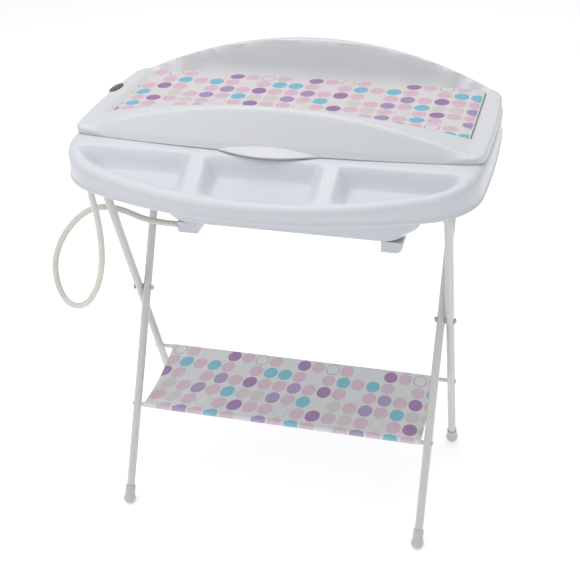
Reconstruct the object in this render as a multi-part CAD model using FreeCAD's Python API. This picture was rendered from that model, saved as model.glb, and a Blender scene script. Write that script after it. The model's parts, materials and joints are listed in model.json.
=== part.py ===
"""Changing table: folding tube stand, moulded baby bath with a tray front, hinged changing top.

Millimetres, +Z up, +X to the user's right, the user stands at -Y.
The origin is on the floor, under the middle of the object.
"""
import FreeCAD, Part
import math
import os

V = FreeCAD.Vector
X_AXIS = V(1, 0, 0)
Y_AXIS = V(0, 1, 0)
Z_AXIS = V(0, 0, 1)

os.makedirs("parts", exist_ok=True)

# ---------------------------------------------------------------- driving dimensions
TUBE_R = 9.5                 # stand tube, outside radius
TUBE_WALL = 1.2
PIVOT_Y = -31.0              # scissor pivot
PIVOT_Z = 468.0
INNER_X = 356.0              # centre planes of the legs
OUTER_X = 377.0
INNER_FOOT_RUN = 257.0       # how far each foot stands from below the pivot
OUTER_FOOT_RUN = 162.0
CROSSBAR_Z = 812.0
BEND_R = 55.0
LEG_END_Z = 12.0             # tube end inside the foot cap
FOOT_BALL_R = 15.0
FOOT_CENTRE_Z = 13.5
FOOT_SLEEVE_R = 12.2
FOOT_TOP_Z = 42.0
FRONT_ROD_Z = 218.5
REAR_ROD_Z = 247.0
ROD_R = 5.0
FABRIC_HALF_WIDTH = 340.0
FABRIC_T = 3.0
BOLT_R = 3.0
BOLT_HEAD_R = 9.0
NUT_R = 6.0
NUT_T = 5.0
SPACER_R = 8.0
ROD_SCREW_R = 5.0
ROD_SCREW_T = 2.6

RIM_Z = 894.0                # top of the bath's rim, where the changing top lands
LIP_Z = 826.0                # bottom of the bath's skirt
TUB_FRONT_Y = -325.0
TRAY_DROP = 34.0             # the tray surface slopes down to the front
SEAM_Y = -146.0              # front edge of the changing top at the middle
SEAM_R = 3500.0
WALL = 3.0
LIP_BEAD = 2.5
RIM_FILLET = 18.0
# the bath's plan outline, right half from the front middle: radius and turn of each tangent arc
OUTLINE_ARCS = [(893.0, 23.4), (145.0, 62.6), (2506.0, 8.0), (60.0, 74.0)]

RECESS_INSET = 21.0
RECESS_REAR_Y = -160.0
RECESS_FLOOR_Z = 850.0
RECESS_CORNER_R = 14.0
DIVIDER_REAR_X = (125.0, 159.0)
DIVIDER_FRONT_X = (117.0, 151.0)

BASIN_FLOOR_Z = 666.0        # underside of the basin's floor
# level sections of the basin's outside: height, half width, front and rear, corner radius
BASIN_LEVELS = [(BASIN_FLOOR_Z, 262, (-61, 59), 44), (700, 303, (-72, 76), 52),
                (805, 318, (-101, 119), 60), (RIM_Z, 340, (-126, 219), 66)]
DRAIN_X = -228.0
DRAIN_Y = -31.0
DRAIN_R = 14.0
STRAINER_HOLE_R = 2.6
PLUG_R = 18.0
PLUG_TAB = (18.0, 3.0, 15.0)
SEAL_R = (8.0, 16.0)
BLOCK_BOTTOM_Z = 640.0       # the two blocks under the basin
BLOCK_Y = (-53.0, -3.0)
FOOT_BLOCK_X = (220.0, 268.0)
HOUSING_X = (-252.0, -205.0)
OUTLET_Z = 648.0
OUTLET_BORE_R = 4.0
BUFFER_AT = [(385.0, -85.0), (385.0, 210.0)]
BUFFER_R = 6.0
SADDLE_X = (185.0, 215.0)    # clips on the stand's crossbars
SADDLE_CLEAR = 0.5

LID_GAP = 0.3
LID_INSET = 3.0
LID_RIM_Z = 912.0
LID_CORNER_R = 45.0
PAN_FLOOR_Z = 900.0
MAT_X = 398.0
MAT_Y = (-46.0, 268.0)
MAT_CORNER_R = 20.0
MAT_T = 11.0
BADGE_AT = (-442.3, 110.0, 903.2)
BADGE_SIZE = (5.5, 16.0, 8.0)
FRONT_GUARD_Z = 972.5
FRONT_GUARD_ARCH_R = 1360.0
REAR_GUARD_Z = 992.0
REAR_GUARD_ARCH_R = 1170.0
# guard sections as (y, height over the bath's rim)
FRONT_GUARD = [(SEAM_Y - 6, 0), (SEAM_Y + 49, 86), (SEAM_Y + 60, 86), (SEAM_Y + 100, 0)]
REAR_GUARD = [(330, 0), (330, 102), (302, 102), (270, 0)]
LIP_HALF_WIDTH = 108.0       # finger lip at the front of the changing top
LIP_REACH = 28.0
LIP_T = 10.0
HINGE_X = 120.0
HINGE_Y = 323.0
HINGE_Z = 894.5
HINGE_R = 4.5
HINGE_PIN_R = 2.0
KNUCKLE_X = (9.0, 22.0)      # fixed knuckles, from the hinge's middle

HOSE_R = 7.25
RING_LENGTH = 7.0
# the drain hose's route, from the ring on the drain housing to the clip under the rim
HOSE_ROUTE = [
    (-259, -31, 648), (-298, -31, 648), (-342, -37, 656), (-388, -50, 684), (-432, -64, 694),
    (-476, -76, 676), (-522, -89, 626), (-548, -106, 566), (-543, -124, 508), (-512, -143, 466),
    (-462, -155, 474), (-422, -162, 526), (-396, -170, 592), (-383, -178, 664), (-380, -186, 738),
    (-383, -194, 790), (-383, -194, 834)]
HOSE_ARC_SHARE = 0.45        # of the shorter run, for each bend's arc
CLIP_HALF = 12.0
CLIP_GRIP = 12.0


# ---------------------------------------------------------------- helpers
def box(x, y, z):
    return Part.makeBox(x[1] - x[0], y[1] - y[0], z[1] - z[0], V(x[0], y[0], z[0]))


def cylinder(start, end, radius):
    span = end - start
    return Part.makeCylinder(radius, span.Length, start, span)


def fuse(shapes):
    whole = shapes[0]
    for shape in shapes[1:]:
        whole = whole.fuse(shape)
    return whole.removeSplitter()


def mirrored(shape):
    """The same piece on the other side of the object."""
    return shape.mirror(V(0, 0, 0), X_AXIS)


def pair(shape):
    return Part.makeCompound([shape, mirrored(shape)])


def rounded_path(points, radii, closed):
    """Edges through the points, each corner rounded by its own radius."""
    count = len(points)
    edges, starts, ends = [], [], []
    for i, corner in enumerate(points):
        if not closed and i in (0, count - 1):
            starts.append(corner)
            ends.append(corner)
            continue
        back = (points[i - 1] - corner).normalize()
        ahead = (points[(i + 1) % count] - corner).normalize()
        half = back.getAngle(ahead) / 2
        reach = radii[i] / math.tan(half)
        starts.append(corner + back * reach)
        ends.append(corner + ahead * reach)
        middle = (back + ahead).normalize()
        nearest = corner + middle * (radii[i] / math.sin(half) - radii[i])
        edges.append((i, Part.Arc(starts[i], nearest, ends[i]).toShape()))
    arcs = dict(edges)
    whole = []
    for i in range(count):
        if i in arcs:
            whole.append(arcs[i])
        if i == count - 1 and not closed:
            break
        follow = (i + 1) % count
        if ends[i].distanceToPoint(starts[follow]) > 1e-6:
            whole.append(Part.LineSegment(ends[i], starts[follow]).toShape())
    return Part.Wire(whole)


def prism(wire, height):
    return Part.Face(wire).extrude(V(0, 0, height))


def rounded_rectangle(x, y, radius, z):
    corners = [V(x[0], y[0], z), V(x[1], y[0], z), V(x[1], y[1], z), V(x[0], y[1], z)]
    return rounded_path(corners, [radius] * 4, True)


def along_x(outline_yz, half_width):
    """A solid of one constant section, given as (y, z) points, centred on X = 0."""
    points = [V(-half_width, y, z) for y, z in outline_yz]
    face = Part.Face(Part.makePolygon(points + points[:1]))
    return face.extrude(V(2 * half_width, 0, 0))


def swept(path, radius):
    first = path.OrderedEdges[0]
    start = first.valueAt(first.FirstParameter)
    direction = first.tangentAt(first.FirstParameter)
    profile = Part.Wire(Part.makeCircle(radius, start, direction))
    return path.makePipeShell([profile], True, True)


def save(name, shape):
    shape.exportStep("parts/" + name + ".step")


# ---------------------------------------------------------------- stand
class Frame:
    """One of the stand's two frames: two legs, a crossbar and a shelf rod in one tilted plane."""

    def __init__(self, half_width, foot_run, rod_z, wide_bores):
        self.x = half_width
        self.lean = foot_run / PIVOT_Z
        self.rod_z = rod_z
        self.bore_r = BOLT_R + (0.1 if wide_bores else 0.05)
        self.up = V(0, -self.lean, 1).normalize()
        self.leg_top_z = CROSSBAR_Z - (BEND_R + 12) * self.up.z

    def at(self, x, z):
        return V(x, PIVOT_Y - self.lean * (z - PIVOT_Z), z)

    def leg_outside(self):
        return cylinder(self.at(self.x, LEG_END_Z), self.at(self.x, self.leg_top_z), TUBE_R)

    def leg(self):
        inside = cylinder(self.at(self.x, LEG_END_Z), self.at(self.x, self.leg_top_z), TUBE_R - TUBE_WALL)
        pivot = self.at(self.x, PIVOT_Z)
        bore = cylinder(pivot - X_AXIS * 20, pivot + X_AXIS * 20, self.bore_r)
        return self.leg_outside().cut(inside).cut(bore)

    def crossbar(self):
        corners = [self.at(-self.x, self.leg_top_z), self.at(-self.x, CROSSBAR_Z),
                   self.at(self.x, CROSSBAR_Z), self.at(self.x, self.leg_top_z)]
        path = rounded_path(corners, [0, BEND_R, BEND_R, 0], False)
        return swept(path, TUBE_R).cut(swept(path, TUBE_R - TUBE_WALL))

    def foot(self):
        """Bulbous cap: a sleeve on the tube and a ball with a flat base."""
        centre = self.at(self.x, FOOT_CENTRE_Z)
        sleeve = cylinder(centre, self.at(self.x, FOOT_TOP_Z), FOOT_SLEEVE_R)
        cap = fuse([Part.makeSphere(FOOT_BALL_R, centre), sleeve])
        reach = 2 * FOOT_BALL_R
        below = box((self.x - reach, self.x + reach), (centre.y - reach, centre.y + reach), (-reach, 0))
        socket = cylinder(self.at(self.x, LEG_END_Z), self.at(self.x, FOOT_TOP_Z + 1), TUBE_R + 0.05)
        return cap.cut(below).cut(socket)

    def rod(self):
        end = self.x - TUBE_R + 3
        whole = cylinder(self.at(-end, self.rod_z), self.at(end, self.rod_z), ROD_R)
        return whole.cut(self.leg_outside()).cut(mirrored(self.leg_outside()))

    def rod_screw(self):
        """Domed screw head on the outside of the leg."""
        seat = self.at(self.x + TUBE_R - 0.4, self.rod_z)
        head = cylinder(seat, seat + X_AXIS * ROD_SCREW_T, ROD_SCREW_R)
        return head.makeFillet(1.5, [head.Edges[0]]).cut(self.leg_outside())


def build_stand():
    inner = Frame(INNER_X, -INNER_FOOT_RUN, FRONT_ROD_Z, False)
    outer = Frame(OUTER_X, OUTER_FOOT_RUN, REAR_ROD_Z, True)
    for name, frame, rod_name in (("inner", inner, "front"), ("outer", outer, "rear")):
        save(name + "_right_leg", frame.leg())
        save(name + "_left_leg", mirrored(frame.leg()))
        save(name + "_crossbar", frame.crossbar())
        save(name + "_right_foot", frame.foot())
        save(name + "_left_foot", mirrored(frame.foot()))
        save("shelf_" + rod_name + "_rod", frame.rod())
        save(rod_name + "_rod_screws", pair(frame.rod_screw()))
    build_pivots()
    build_shelf(inner, outer)


def build_pivots():
    """At each crossing: a domed bolt, its nut inside the inner leg and a spacer between the legs."""
    inside = V(INNER_X - TUBE_R - 0.1, PIVOT_Y, PIVOT_Z)
    outside = V(OUTER_X + TUBE_R + 0.2, PIVOT_Y, PIVOT_Z)
    ball = Part.makeSphere(BOLT_HEAD_R, outside - X_AXIS * 4)
    reach = 2 * BOLT_HEAD_R
    head = ball.common(box((outside.x, outside.x + reach), (PIVOT_Y - reach, PIVOT_Y + reach),
                           (PIVOT_Z - reach, PIVOT_Z + reach)))
    nut_end = inside - X_AXIS * NUT_T
    shank = cylinder(nut_end + X_AXIS, outside, BOLT_R)
    save("pivot_bolts", pair(fuse([shank, head])))
    nut = cylinder(nut_end, inside, NUT_R)
    save("pivot_nuts", pair(nut.cut(cylinder(nut_end, inside, BOLT_R))))
    spacer_start = V(INNER_X + TUBE_R + 0.1, PIVOT_Y, PIVOT_Z)
    spacer_end = V(OUTER_X - TUBE_R - 0.2, PIVOT_Y, PIVOT_Z)
    ring = cylinder(spacer_start, spacer_end, SPACER_R)
    save("pivot_spacers", pair(ring.cut(cylinder(spacer_start, spacer_end, BOLT_R + 0.05))))


def build_shelf(inner, outer):
    """Cloth sling: a flat panel and a sleeve round each rod."""
    front = inner.at(0, FRONT_ROD_Z)
    rear = outer.at(0, REAR_ROD_Z)
    clear = ROD_R + 0.3
    panel = along_x([(front.y, front.z + clear), (rear.y, rear.z + clear),
                     (rear.y, rear.z + clear + FABRIC_T), (front.y, front.z + clear + FABRIC_T)],
                    FABRIC_HALF_WIDTH)
    sleeves = []
    bores = []
    for middle in (front, rear):
        left = middle - X_AXIS * FABRIC_HALF_WIDTH
        right = middle + X_AXIS * FABRIC_HALF_WIDTH
        sleeves.append(cylinder(left, right, clear + FABRIC_T))
        bores.append(cylinder(left, right, clear))
    sling = fuse([panel] + sleeves)
    save("shelf_fabric", sling.cut(bores[0]).cut(bores[1]))


# ---------------------------------------------------------------- bath
def tub_outline(z):
    """Plan outline: bowed front, tight corners, barrelled sides, bowed back; tangent arcs."""
    here = V(0, TUB_FRONT_Y, z)
    heading = 0.0
    edges = []
    for radius, turn in OUTLINE_ARCS:
        start_angle = heading - 90
        centre = here + V(-math.sin(math.radians(heading)), math.cos(math.radians(heading)), 0) * radius
        stops = [centre + V(math.cos(math.radians(start_angle + share * turn)),
                            math.sin(math.radians(start_angle + share * turn)), 0) * radius
                 for share in (0, 0.5, 1)]
        edges.append(Part.Arc(*stops).toShape())
        here = stops[2]
        heading += turn
    back_r = here.x / math.sin(math.radians(180 - heading))
    back_centre_y = here.y - back_r * math.cos(math.radians(180 - heading))
    back = Part.Arc(here, V(0, back_centre_y + back_r, z), V(-here.x, here.y, z)).toShape()
    left = [mirrored(edge) for edge in edges]
    return Part.Wire(Part.__sortEdges__(edges + [back] + left))


def inset(wire, amount):
    return wire.makeOffset2D(-amount) if amount else wire


def tray_slope(drop):
    """Everything above the sloping tray surface, lowered by drop."""
    front = TUB_FRONT_Y - 20
    fall = TRAY_DROP * (SEAM_Y - front) / (SEAM_Y - TUB_FRONT_Y)
    return along_x([(SEAM_Y, RIM_Z - drop), (SEAM_Y, RIM_Z + 20), (front, RIM_Z + 20),
                    (front, RIM_Z - fall - drop)], 500)


def recess_zones(grow):
    """Plan areas of the three compartments, each grown outwards by the wall."""
    front = TUB_FRONT_Y
    rear = RECESS_REAR_Y + grow
    middle = [V(-DIVIDER_FRONT_X[0] - grow, front, 0), V(DIVIDER_FRONT_X[0] + grow, front, 0),
              V(DIVIDER_REAR_X[0] + grow, rear, 0), V(-DIVIDER_REAR_X[0] - grow, rear, 0)]
    side = [V(DIVIDER_FRONT_X[1] - grow, front, 0), V(450, front, 0), V(450, rear, 0),
            V(DIVIDER_REAR_X[1] - grow, rear, 0)]
    zones = []
    for corners in (middle, side):
        zones.append(Part.Face(Part.makePolygon(corners + corners[:1])))
    return zones + [mirrored(zones[1])]


def recesses(grow, floor_z, top_z):
    area = Part.Face(inset(tub_outline(0), RECESS_INSET - grow))
    solids = []
    for zone in recess_zones(grow):
        plan = area.common(zone).Faces[0]
        solid = plan.extrude(V(0, 0, top_z - floor_z)).translated(V(0, 0, floor_z))
        upright = [e for e in solid.Edges if abs(e.tangentAt(e.FirstParameter).z) > 0.99]
        solids.append(solid.makeFillet(RECESS_CORNER_R + grow, upright))
    return solids


def basin(inward, top_z):
    """The bath's own body, as a loft between level rounded rectangles."""
    wires = []
    for z, half_x, y, radius in BASIN_LEVELS:
        level_z = z + inward if z == BASIN_FLOOR_Z else z
        level_z = top_z if z == RIM_Z else level_z
        wires.append(rounded_rectangle((-half_x + inward, half_x - inward),
                                       (y[0] + inward, y[1] - inward), radius - inward, level_z))
    return Part.makeLoft(wires, True, True)


def rounded_slab(outline, fillet, top_z, drop):
    """Outline raised to the rim, its top edge rounded and its front sloped down."""
    slab = prism(outline, top_z - LIP_Z)
    top_edges = [edge for edge in slab.Edges if edge.BoundBox.ZMin > top_z - 1]
    return slab.makeFillet(fillet, top_edges).cut(tray_slope(drop))


def build_tub():
    block = rounded_slab(tub_outline(LIP_Z), RIM_FILLET, RIM_Z, 0)
    bead = prism(inset(tub_outline(LIP_Z), -LIP_BEAD), 5.0)
    under = rounded_slab(inset(tub_outline(LIP_Z), WALL), RIM_FILLET - WALL, RIM_Z - WALL, WALL)
    shell = fuse([block, bead]).cut(under)
    cups = [cup.cut(tray_slope(1)) for cup in recesses(WALL, RECESS_FLOOR_Z - WALL, RIM_Z - 1)]
    body = fuse([shell, basin(0, RIM_Z - 1)] + cups)
    tub = body.cut(basin(WALL, RIM_Z + 5))
    for hollow in recesses(0, RECESS_FLOOR_Z, RIM_Z + 5):
        tub = tub.cut(hollow)
    drain = V(DRAIN_X, DRAIN_Y, BASIN_FLOOR_Z - 1)
    return tub.cut(cylinder(drain, drain + Z_AXIS * 20, DRAIN_R))


def build_bath():
    tub = build_tub()
    save("bath_tub", tub)
    solid_bath = fuse([tub, basin(0, RIM_Z - 1)] + recesses(WALL, RECESS_FLOOR_Z - WALL, RIM_Z))
    build_saddles(solid_bath)
    build_drain()
    build_hose(solid_bath)
    build_tub_hinges()
    buffer_height = PAN_FLOOR_Z - WALL - RIM_Z - 0.2
    buffers = [cylinder(V(x, y, RIM_Z), V(x, y, RIM_Z + buffer_height), BUFFER_R) for x, y in BUFFER_AT]
    save("rim_buffers", Part.makeCompound([pair(post) for post in buffers]))


def build_saddles(solid_bath):
    """Clips under the bath: the front pair is open to the rear, the rear pair grips both sides."""
    clear = TUBE_R + SADDLE_CLEAR
    front_bar_y = PIVOT_Y - OUTER_FOOT_RUN / PIVOT_Z * (CROSSBAR_Z - PIVOT_Z)
    rear_bar_y = PIVOT_Y + INNER_FOOT_RUN / PIVOT_Z * (CROSSBAR_Z - PIVOT_Z)
    bottom = CROSSBAR_Z - 6
    slot_x = (SADDLE_X[0] - 5, SADDLE_X[1] + 5)
    slot_z = (BASIN_FLOOR_Z, CROSSBAR_Z + clear)
    front = box(SADDLE_X, (front_bar_y - clear - 7, front_bar_y + 14), (bottom, RIM_Z - WALL))
    front = front.cut(box(slot_x, (front_bar_y - clear, front_bar_y + 20), slot_z))
    save("front_saddles", pair(front.cut(solid_bath)))
    rear = box(SADDLE_X, (rear_bar_y - clear - 4, rear_bar_y + clear + 4), (bottom, RIM_Z - 25))
    rear = rear.cut(box(slot_x, (rear_bar_y - clear, rear_bar_y + clear), slot_z))
    save("rear_saddles", pair(rear.cut(solid_bath)))


def bottom_edges(block, x):
    """The block's lower edges that lie at x."""
    return [edge for edge in block.Edges if edge.BoundBox.ZMax < BLOCK_BOTTOM_Z + 1
            and abs(edge.BoundBox.XMin - x) < 1 and abs(edge.BoundBox.XMax - x) < 1]


def build_drain():
    """Two blocks under the basin; the left one is hollow and carries the drain outlet."""
    block_z = (BLOCK_BOTTOM_Z, BASIN_FLOOR_Z)
    right = box(FOOT_BLOCK_X, BLOCK_Y, block_z)
    right = right.makeFillet(16, bottom_edges(right, FOOT_BLOCK_X[1]))
    save("right_bath_foot", right.cut(basin(0, RIM_Z)))
    housing = box(HOUSING_X, BLOCK_Y, block_z)
    housing = housing.makeChamfer(3.5, bottom_edges(housing, HOUSING_X[0]))
    sump = cylinder(V(DRAIN_X, DRAIN_Y, OUTLET_Z - 5), V(DRAIN_X, DRAIN_Y, BASIN_FLOOR_Z), DRAIN_R)
    outlet = V(HOUSING_X[0], DRAIN_Y, OUTLET_Z)
    bore = cylinder(V(DRAIN_X, DRAIN_Y, OUTLET_Z), outlet, OUTLET_BORE_R)
    save("drain_housing", housing.cut(sump).cut(bore))
    ring_end = outlet - X_AXIS * RING_LENGTH
    ring = cylinder(outlet, ring_end, HOSE_R + 1.2)
    save("hose_ring", ring.cut(cylinder(outlet, ring_end, OUTLET_BORE_R)))
    build_plug()


def build_plug():
    """The strainer in the drain hole, and the plug over it with its seal and finger tab."""
    floor = V(DRAIN_X, DRAIN_Y, BASIN_FLOOR_Z)
    strainer = cylinder(floor, floor + Z_AXIS * 2, DRAIN_R)
    for turn in range(6):
        angle = math.radians(60 * turn)
        hole = floor + V(math.cos(angle), math.sin(angle), 0) * DRAIN_R * 0.53
        strainer = strainer.cut(cylinder(hole, hole + Z_AXIS * 2, STRAINER_HOLE_R))
    save("drain_strainer", strainer)
    seat = floor + Z_AXIS * (WALL + 0.3)
    seal_top = seat + Z_AXIS * 2
    seal = cylinder(seat, seal_top, SEAL_R[1]).cut(cylinder(seat, seal_top, SEAL_R[0]))
    save("plug_seal", seal)
    disc_top = seal_top + Z_AXIS * 3
    disc = fuse([cylinder(seat, seal_top, SEAL_R[0]), cylinder(seal_top, disc_top, PLUG_R)])
    width, thickness, height = PLUG_TAB
    tab = box((DRAIN_X - width / 2, DRAIN_X + width / 2), (DRAIN_Y - thickness / 2, DRAIN_Y + thickness / 2),
              (disc_top.z, disc_top.z + height))
    hole = V(DRAIN_X, DRAIN_Y - thickness, disc_top.z + height / 2)
    tab = tab.cut(cylinder(hole, hole + Y_AXIS * 2 * thickness, width / 4))
    save("drain_plug", fuse([disc, tab]))


def hose_path():
    points = [V(*point) for point in HOSE_ROUTE]
    radii = [0.0]
    for before, corner, after in zip(points, points[1:], points[2:]):
        turn = (corner - before).getAngle(after - corner)
        shorter = min((corner - before).Length, (after - corner).Length)
        radii.append(HOSE_ARC_SHARE * shorter / math.tan(turn / 2))
    print("hose bend radii, mm:", [round(radius) for radius in radii[1:]])
    return rounded_path(points, radii + [0.0], False)


def build_hose(solid_bath):
    path = hose_path()
    hose = swept(path, HOSE_R)
    share = hose.Volume / (math.pi * HOSE_R ** 2 * path.Length)
    print("hose length, mm:", round(path.Length), "volume share:", round(share, 4))
    save("drain_hose", hose)
    end = V(*HOSE_ROUTE[-1])
    clip = box((end.x - CLIP_HALF, end.x + CLIP_HALF), (end.y - CLIP_HALF, end.y + CLIP_HALF),
               (end.z - CLIP_GRIP, RECESS_FLOOR_Z))
    socket = cylinder(end - Z_AXIS * 20, end + Z_AXIS * 3, HOSE_R + 0.3)
    save("hose_end_clip", clip.cut(solid_bath).cut(socket))


def hinge_knuckle(x, bore_r):
    start = V(x[0], HINGE_Y, HINGE_Z)
    end = V(x[1], HINGE_Y, HINGE_Z)
    return cylinder(start, end, HINGE_R), cylinder(start, end, bore_r)


def build_tub_hinges():
    """Fixed half of each lid hinge: a leaf on the back of the bath and two knuckles, with the pin."""
    bath = prism(tub_outline(LIP_Z), RIM_Z - LIP_Z)
    near, far = KNUCKLE_X
    back_y = (HINGE_Y - 14, HINGE_Y - 3)
    solids = [box((HINGE_X - far, HINGE_X + far), back_y, (LIP_Z + 35, HINGE_Z - 6))]
    bores = []
    for x in ((HINGE_X - far, HINGE_X - near), (HINGE_X + near, HINGE_X + far)):
        solids.append(box(x, (back_y[0], HINGE_Y), (HINGE_Z - 8, RIM_Z - 0.5)))
        barrel, bore = hinge_knuckle(x, HINGE_PIN_R)
        solids.append(barrel)
        bores.append(bore)
    save("hinge_brackets", pair(fuse(solids).cut(bath).cut(bores[0]).cut(bores[1])))
    pin_start = V(HINGE_X - far - 1, HINGE_Y, HINGE_Z)
    pin_end = V(HINGE_X + far + 1, HINGE_Y, HINGE_Z)
    save("hinge_pins", pair(cylinder(pin_start, pin_end, HINGE_PIN_R)))


# ---------------------------------------------------------------- changing top
def lid_plan(amount, low_z, high_z):
    """The top's own outline as a solid: the bath's outline inset, with its own bowed front."""
    plan = prism(inset(tub_outline(low_z), LID_INSET + amount), high_z - low_z)
    front_r = SEAM_R - amount
    axis = V(0, SEAM_Y + SEAM_R, low_z)
    plan = plan.common(cylinder(axis, axis + Z_AXIS * (high_z - low_z), front_r))
    corners = [edge for edge in plan.Edges if edge.BoundBox.ZLength > high_z - low_z - 0.1
               and edge.BoundBox.YMax < SEAM_Y + 60]
    return plan.makeFillet(LID_CORNER_R - amount, corners)


def guard(section, top_z, arch_r, shrink):
    """A raised guard: a constant section under an arch."""
    base = RIM_Z + LID_GAP
    wire = Part.makePolygon([V(0, y, base + height) for y, height in section + section[:1]])
    if shrink:
        wire = wire.makeOffset2D(-shrink)
    bar = Part.Face(wire).extrude(V(900, 0, 0)).translated(V(-450, 0, 0))
    axis = V(0, -500, top_z - arch_r)
    return bar.common(cylinder(axis, axis + Y_AXIS * 1000, arch_r - shrink))


def build_top():
    bottom = RIM_Z + LID_GAP
    plan = lid_plan(0, bottom, REAR_GUARD_Z)
    guards = [(FRONT_GUARD, FRONT_GUARD_Z, FRONT_GUARD_ARCH_R),
              (REAR_GUARD, REAR_GUARD_Z, REAR_GUARD_ARCH_R)]
    pan = prism(rounded_rectangle((-MAT_X - 4, MAT_X + 4), (MAT_Y[0] - 4, MAT_Y[1] + 4),
                                  MAT_CORNER_R + 4, PAN_FLOOR_Z), 100)
    raised = [guard(*sizes, 0).common(plan) for sizes in guards]
    top = fuse([lid_plan(0, bottom, LID_RIM_Z).cut(pan)] + raised + [finger_lip(bottom)])
    top = top.cut(lid_plan(WALL + 3, bottom, PAN_FLOOR_Z - WALL))
    inside = lid_plan(WALL, bottom, REAR_GUARD_Z)
    for sizes in guards:
        top = top.cut(guard(*sizes, WALL).common(inside))
    save("changing_top", top)
    mat = prism(rounded_rectangle((-MAT_X, MAT_X), MAT_Y, MAT_CORNER_R, PAN_FLOOR_Z), MAT_T)
    save("changing_mat", mat.cut(fuse(raised)))
    build_lid_hinges(plan)
    badge = badge_blank().cut(lid_plan(0, bottom, LID_RIM_Z))
    save("side_badge", badge)


def finger_lip(bottom):
    """Lens-shaped ledge over the middle compartment."""
    radius = (LIP_HALF_WIDTH ** 2 + LIP_REACH ** 2) / (2 * LIP_REACH)
    centre_y = SEAM_Y - LIP_REACH + radius
    disc = cylinder(V(0, centre_y, bottom), V(0, centre_y, RIM_Z + LIP_T), radius)
    reach = box((-LIP_HALF_WIDTH, LIP_HALF_WIDTH), (SEAM_Y - 2 * LIP_REACH, SEAM_Y + 8),
                (bottom, RIM_Z + LIP_T))
    return disc.common(reach)


def badge_blank():
    """Plain oval button on the left edge of the top."""
    middle = V(*BADGE_AT)
    tip = middle + Y_AXIS * BADGE_SIZE[1]
    crown = middle + Z_AXIS * BADGE_SIZE[2]
    oval = Part.Wire(Part.Ellipse(tip, crown, middle).toShape())
    return Part.Face(oval).extrude(X_AXIS * -BADGE_SIZE[0])


def build_lid_hinges(plan):
    """Moving half of each lid hinge: a leaf on the back of the top and the middle knuckle."""
    half = KNUCKLE_X[0] - 0.5
    back_y = (HINGE_Y - 14, HINGE_Y - 3)
    leaf = box((HINGE_X - 20, HINGE_X + 20), back_y, (HINGE_Z + 6, HINGE_Z + 34))
    neck = box((HINGE_X - half, HINGE_X + half), (back_y[0], HINGE_Y), (HINGE_Z, HINGE_Z + 8))
    barrel, bore = hinge_knuckle((HINGE_X - half, HINGE_X + half), HINGE_PIN_R + 0.05)
    knuckle = fuse([leaf.cut(plan), neck.cut(plan), barrel]).cut(bore)
    save("hinge_knuckles", pair(knuckle))


build_stand()
build_bath()
build_top()
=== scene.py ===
"""Changing table: the looks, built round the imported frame. Metres, +Z up, the user stands at -Y."""
import json
import math

import bpy
import bmesh
from mathutils import Matrix, Vector
from mathutils.geometry import delaunay_2d_cdt


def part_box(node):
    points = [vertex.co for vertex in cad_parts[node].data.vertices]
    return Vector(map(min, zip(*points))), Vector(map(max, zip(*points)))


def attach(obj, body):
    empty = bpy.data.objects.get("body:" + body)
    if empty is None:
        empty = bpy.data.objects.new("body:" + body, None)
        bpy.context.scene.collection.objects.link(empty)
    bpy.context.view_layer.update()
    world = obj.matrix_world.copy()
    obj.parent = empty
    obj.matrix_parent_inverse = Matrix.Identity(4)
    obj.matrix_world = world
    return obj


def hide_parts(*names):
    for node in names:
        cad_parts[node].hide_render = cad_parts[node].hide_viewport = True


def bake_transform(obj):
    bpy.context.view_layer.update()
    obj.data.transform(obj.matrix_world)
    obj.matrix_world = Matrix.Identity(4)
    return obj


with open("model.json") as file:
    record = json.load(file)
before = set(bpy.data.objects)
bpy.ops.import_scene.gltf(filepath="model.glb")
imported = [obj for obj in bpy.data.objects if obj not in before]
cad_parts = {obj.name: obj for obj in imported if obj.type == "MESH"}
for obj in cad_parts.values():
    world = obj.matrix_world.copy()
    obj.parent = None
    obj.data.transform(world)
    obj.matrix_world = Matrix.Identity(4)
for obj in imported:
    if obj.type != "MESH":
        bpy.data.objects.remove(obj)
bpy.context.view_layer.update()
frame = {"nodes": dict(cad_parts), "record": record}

nodes = frame["nodes"]
scene = bpy.context.scene

# ------ sizes that the frame gives
tub_low, tub_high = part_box("bath_tub")
top_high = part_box("changing_top")[1]
mat_low, mat_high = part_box("changing_mat")
cloth_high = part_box("shelf_fabric")[1]
front_rod_low, front_rod_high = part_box("shelf_front_rod")
rear_rod_low, rear_rod_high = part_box("shelf_rear_rod")
badge_low, badge_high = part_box("side_badge")

WALL = 0.003                 # the bath's and the top's plastic
LIP_BEAD = 0.0025            # how far the bead under the rim stands out
FRONT_Y = tub_low.y + LIP_BEAD
RIM_Z = tub_high.z
RIM_DEPTH = 0.068            # the rim hangs down by this much, to its bead
LIP_Z = RIM_Z - RIM_DEPTH
RIM_ROLL = 0.018             # radius of the rim's rounded top edge
TRAY_DROP = 0.034            # the tray surface slopes down to the front
SEAM_Y = FRONT_Y + 0.179     # front edge of the changing top at the middle
SEAM_R = 3.5                 # radius of that edge's bow in plan

# the plan outline's arcs from the front middle round to the back: radius, turn in degrees, steps
OUTLINE_ARCS = [(0.893, 23.4, 26), (0.145, 62.6, 24), (2.506, 8.0, 16), (0.060, 74.0, 20)]
BACK_STEPS = 26


# ------ camera
CAMERA_EYE = Vector((0.6276, -2.1093, 1.8012))
CAMERA_TURN = (15.084, 32.656, -1.69)      # yaw to the left, pitch down, roll, in degrees
CAMERA_LENS = 67.56                        # mm on a 36 mm sensor
CAMERA_SHIFT = (-0.0486, 0.0564)


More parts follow.
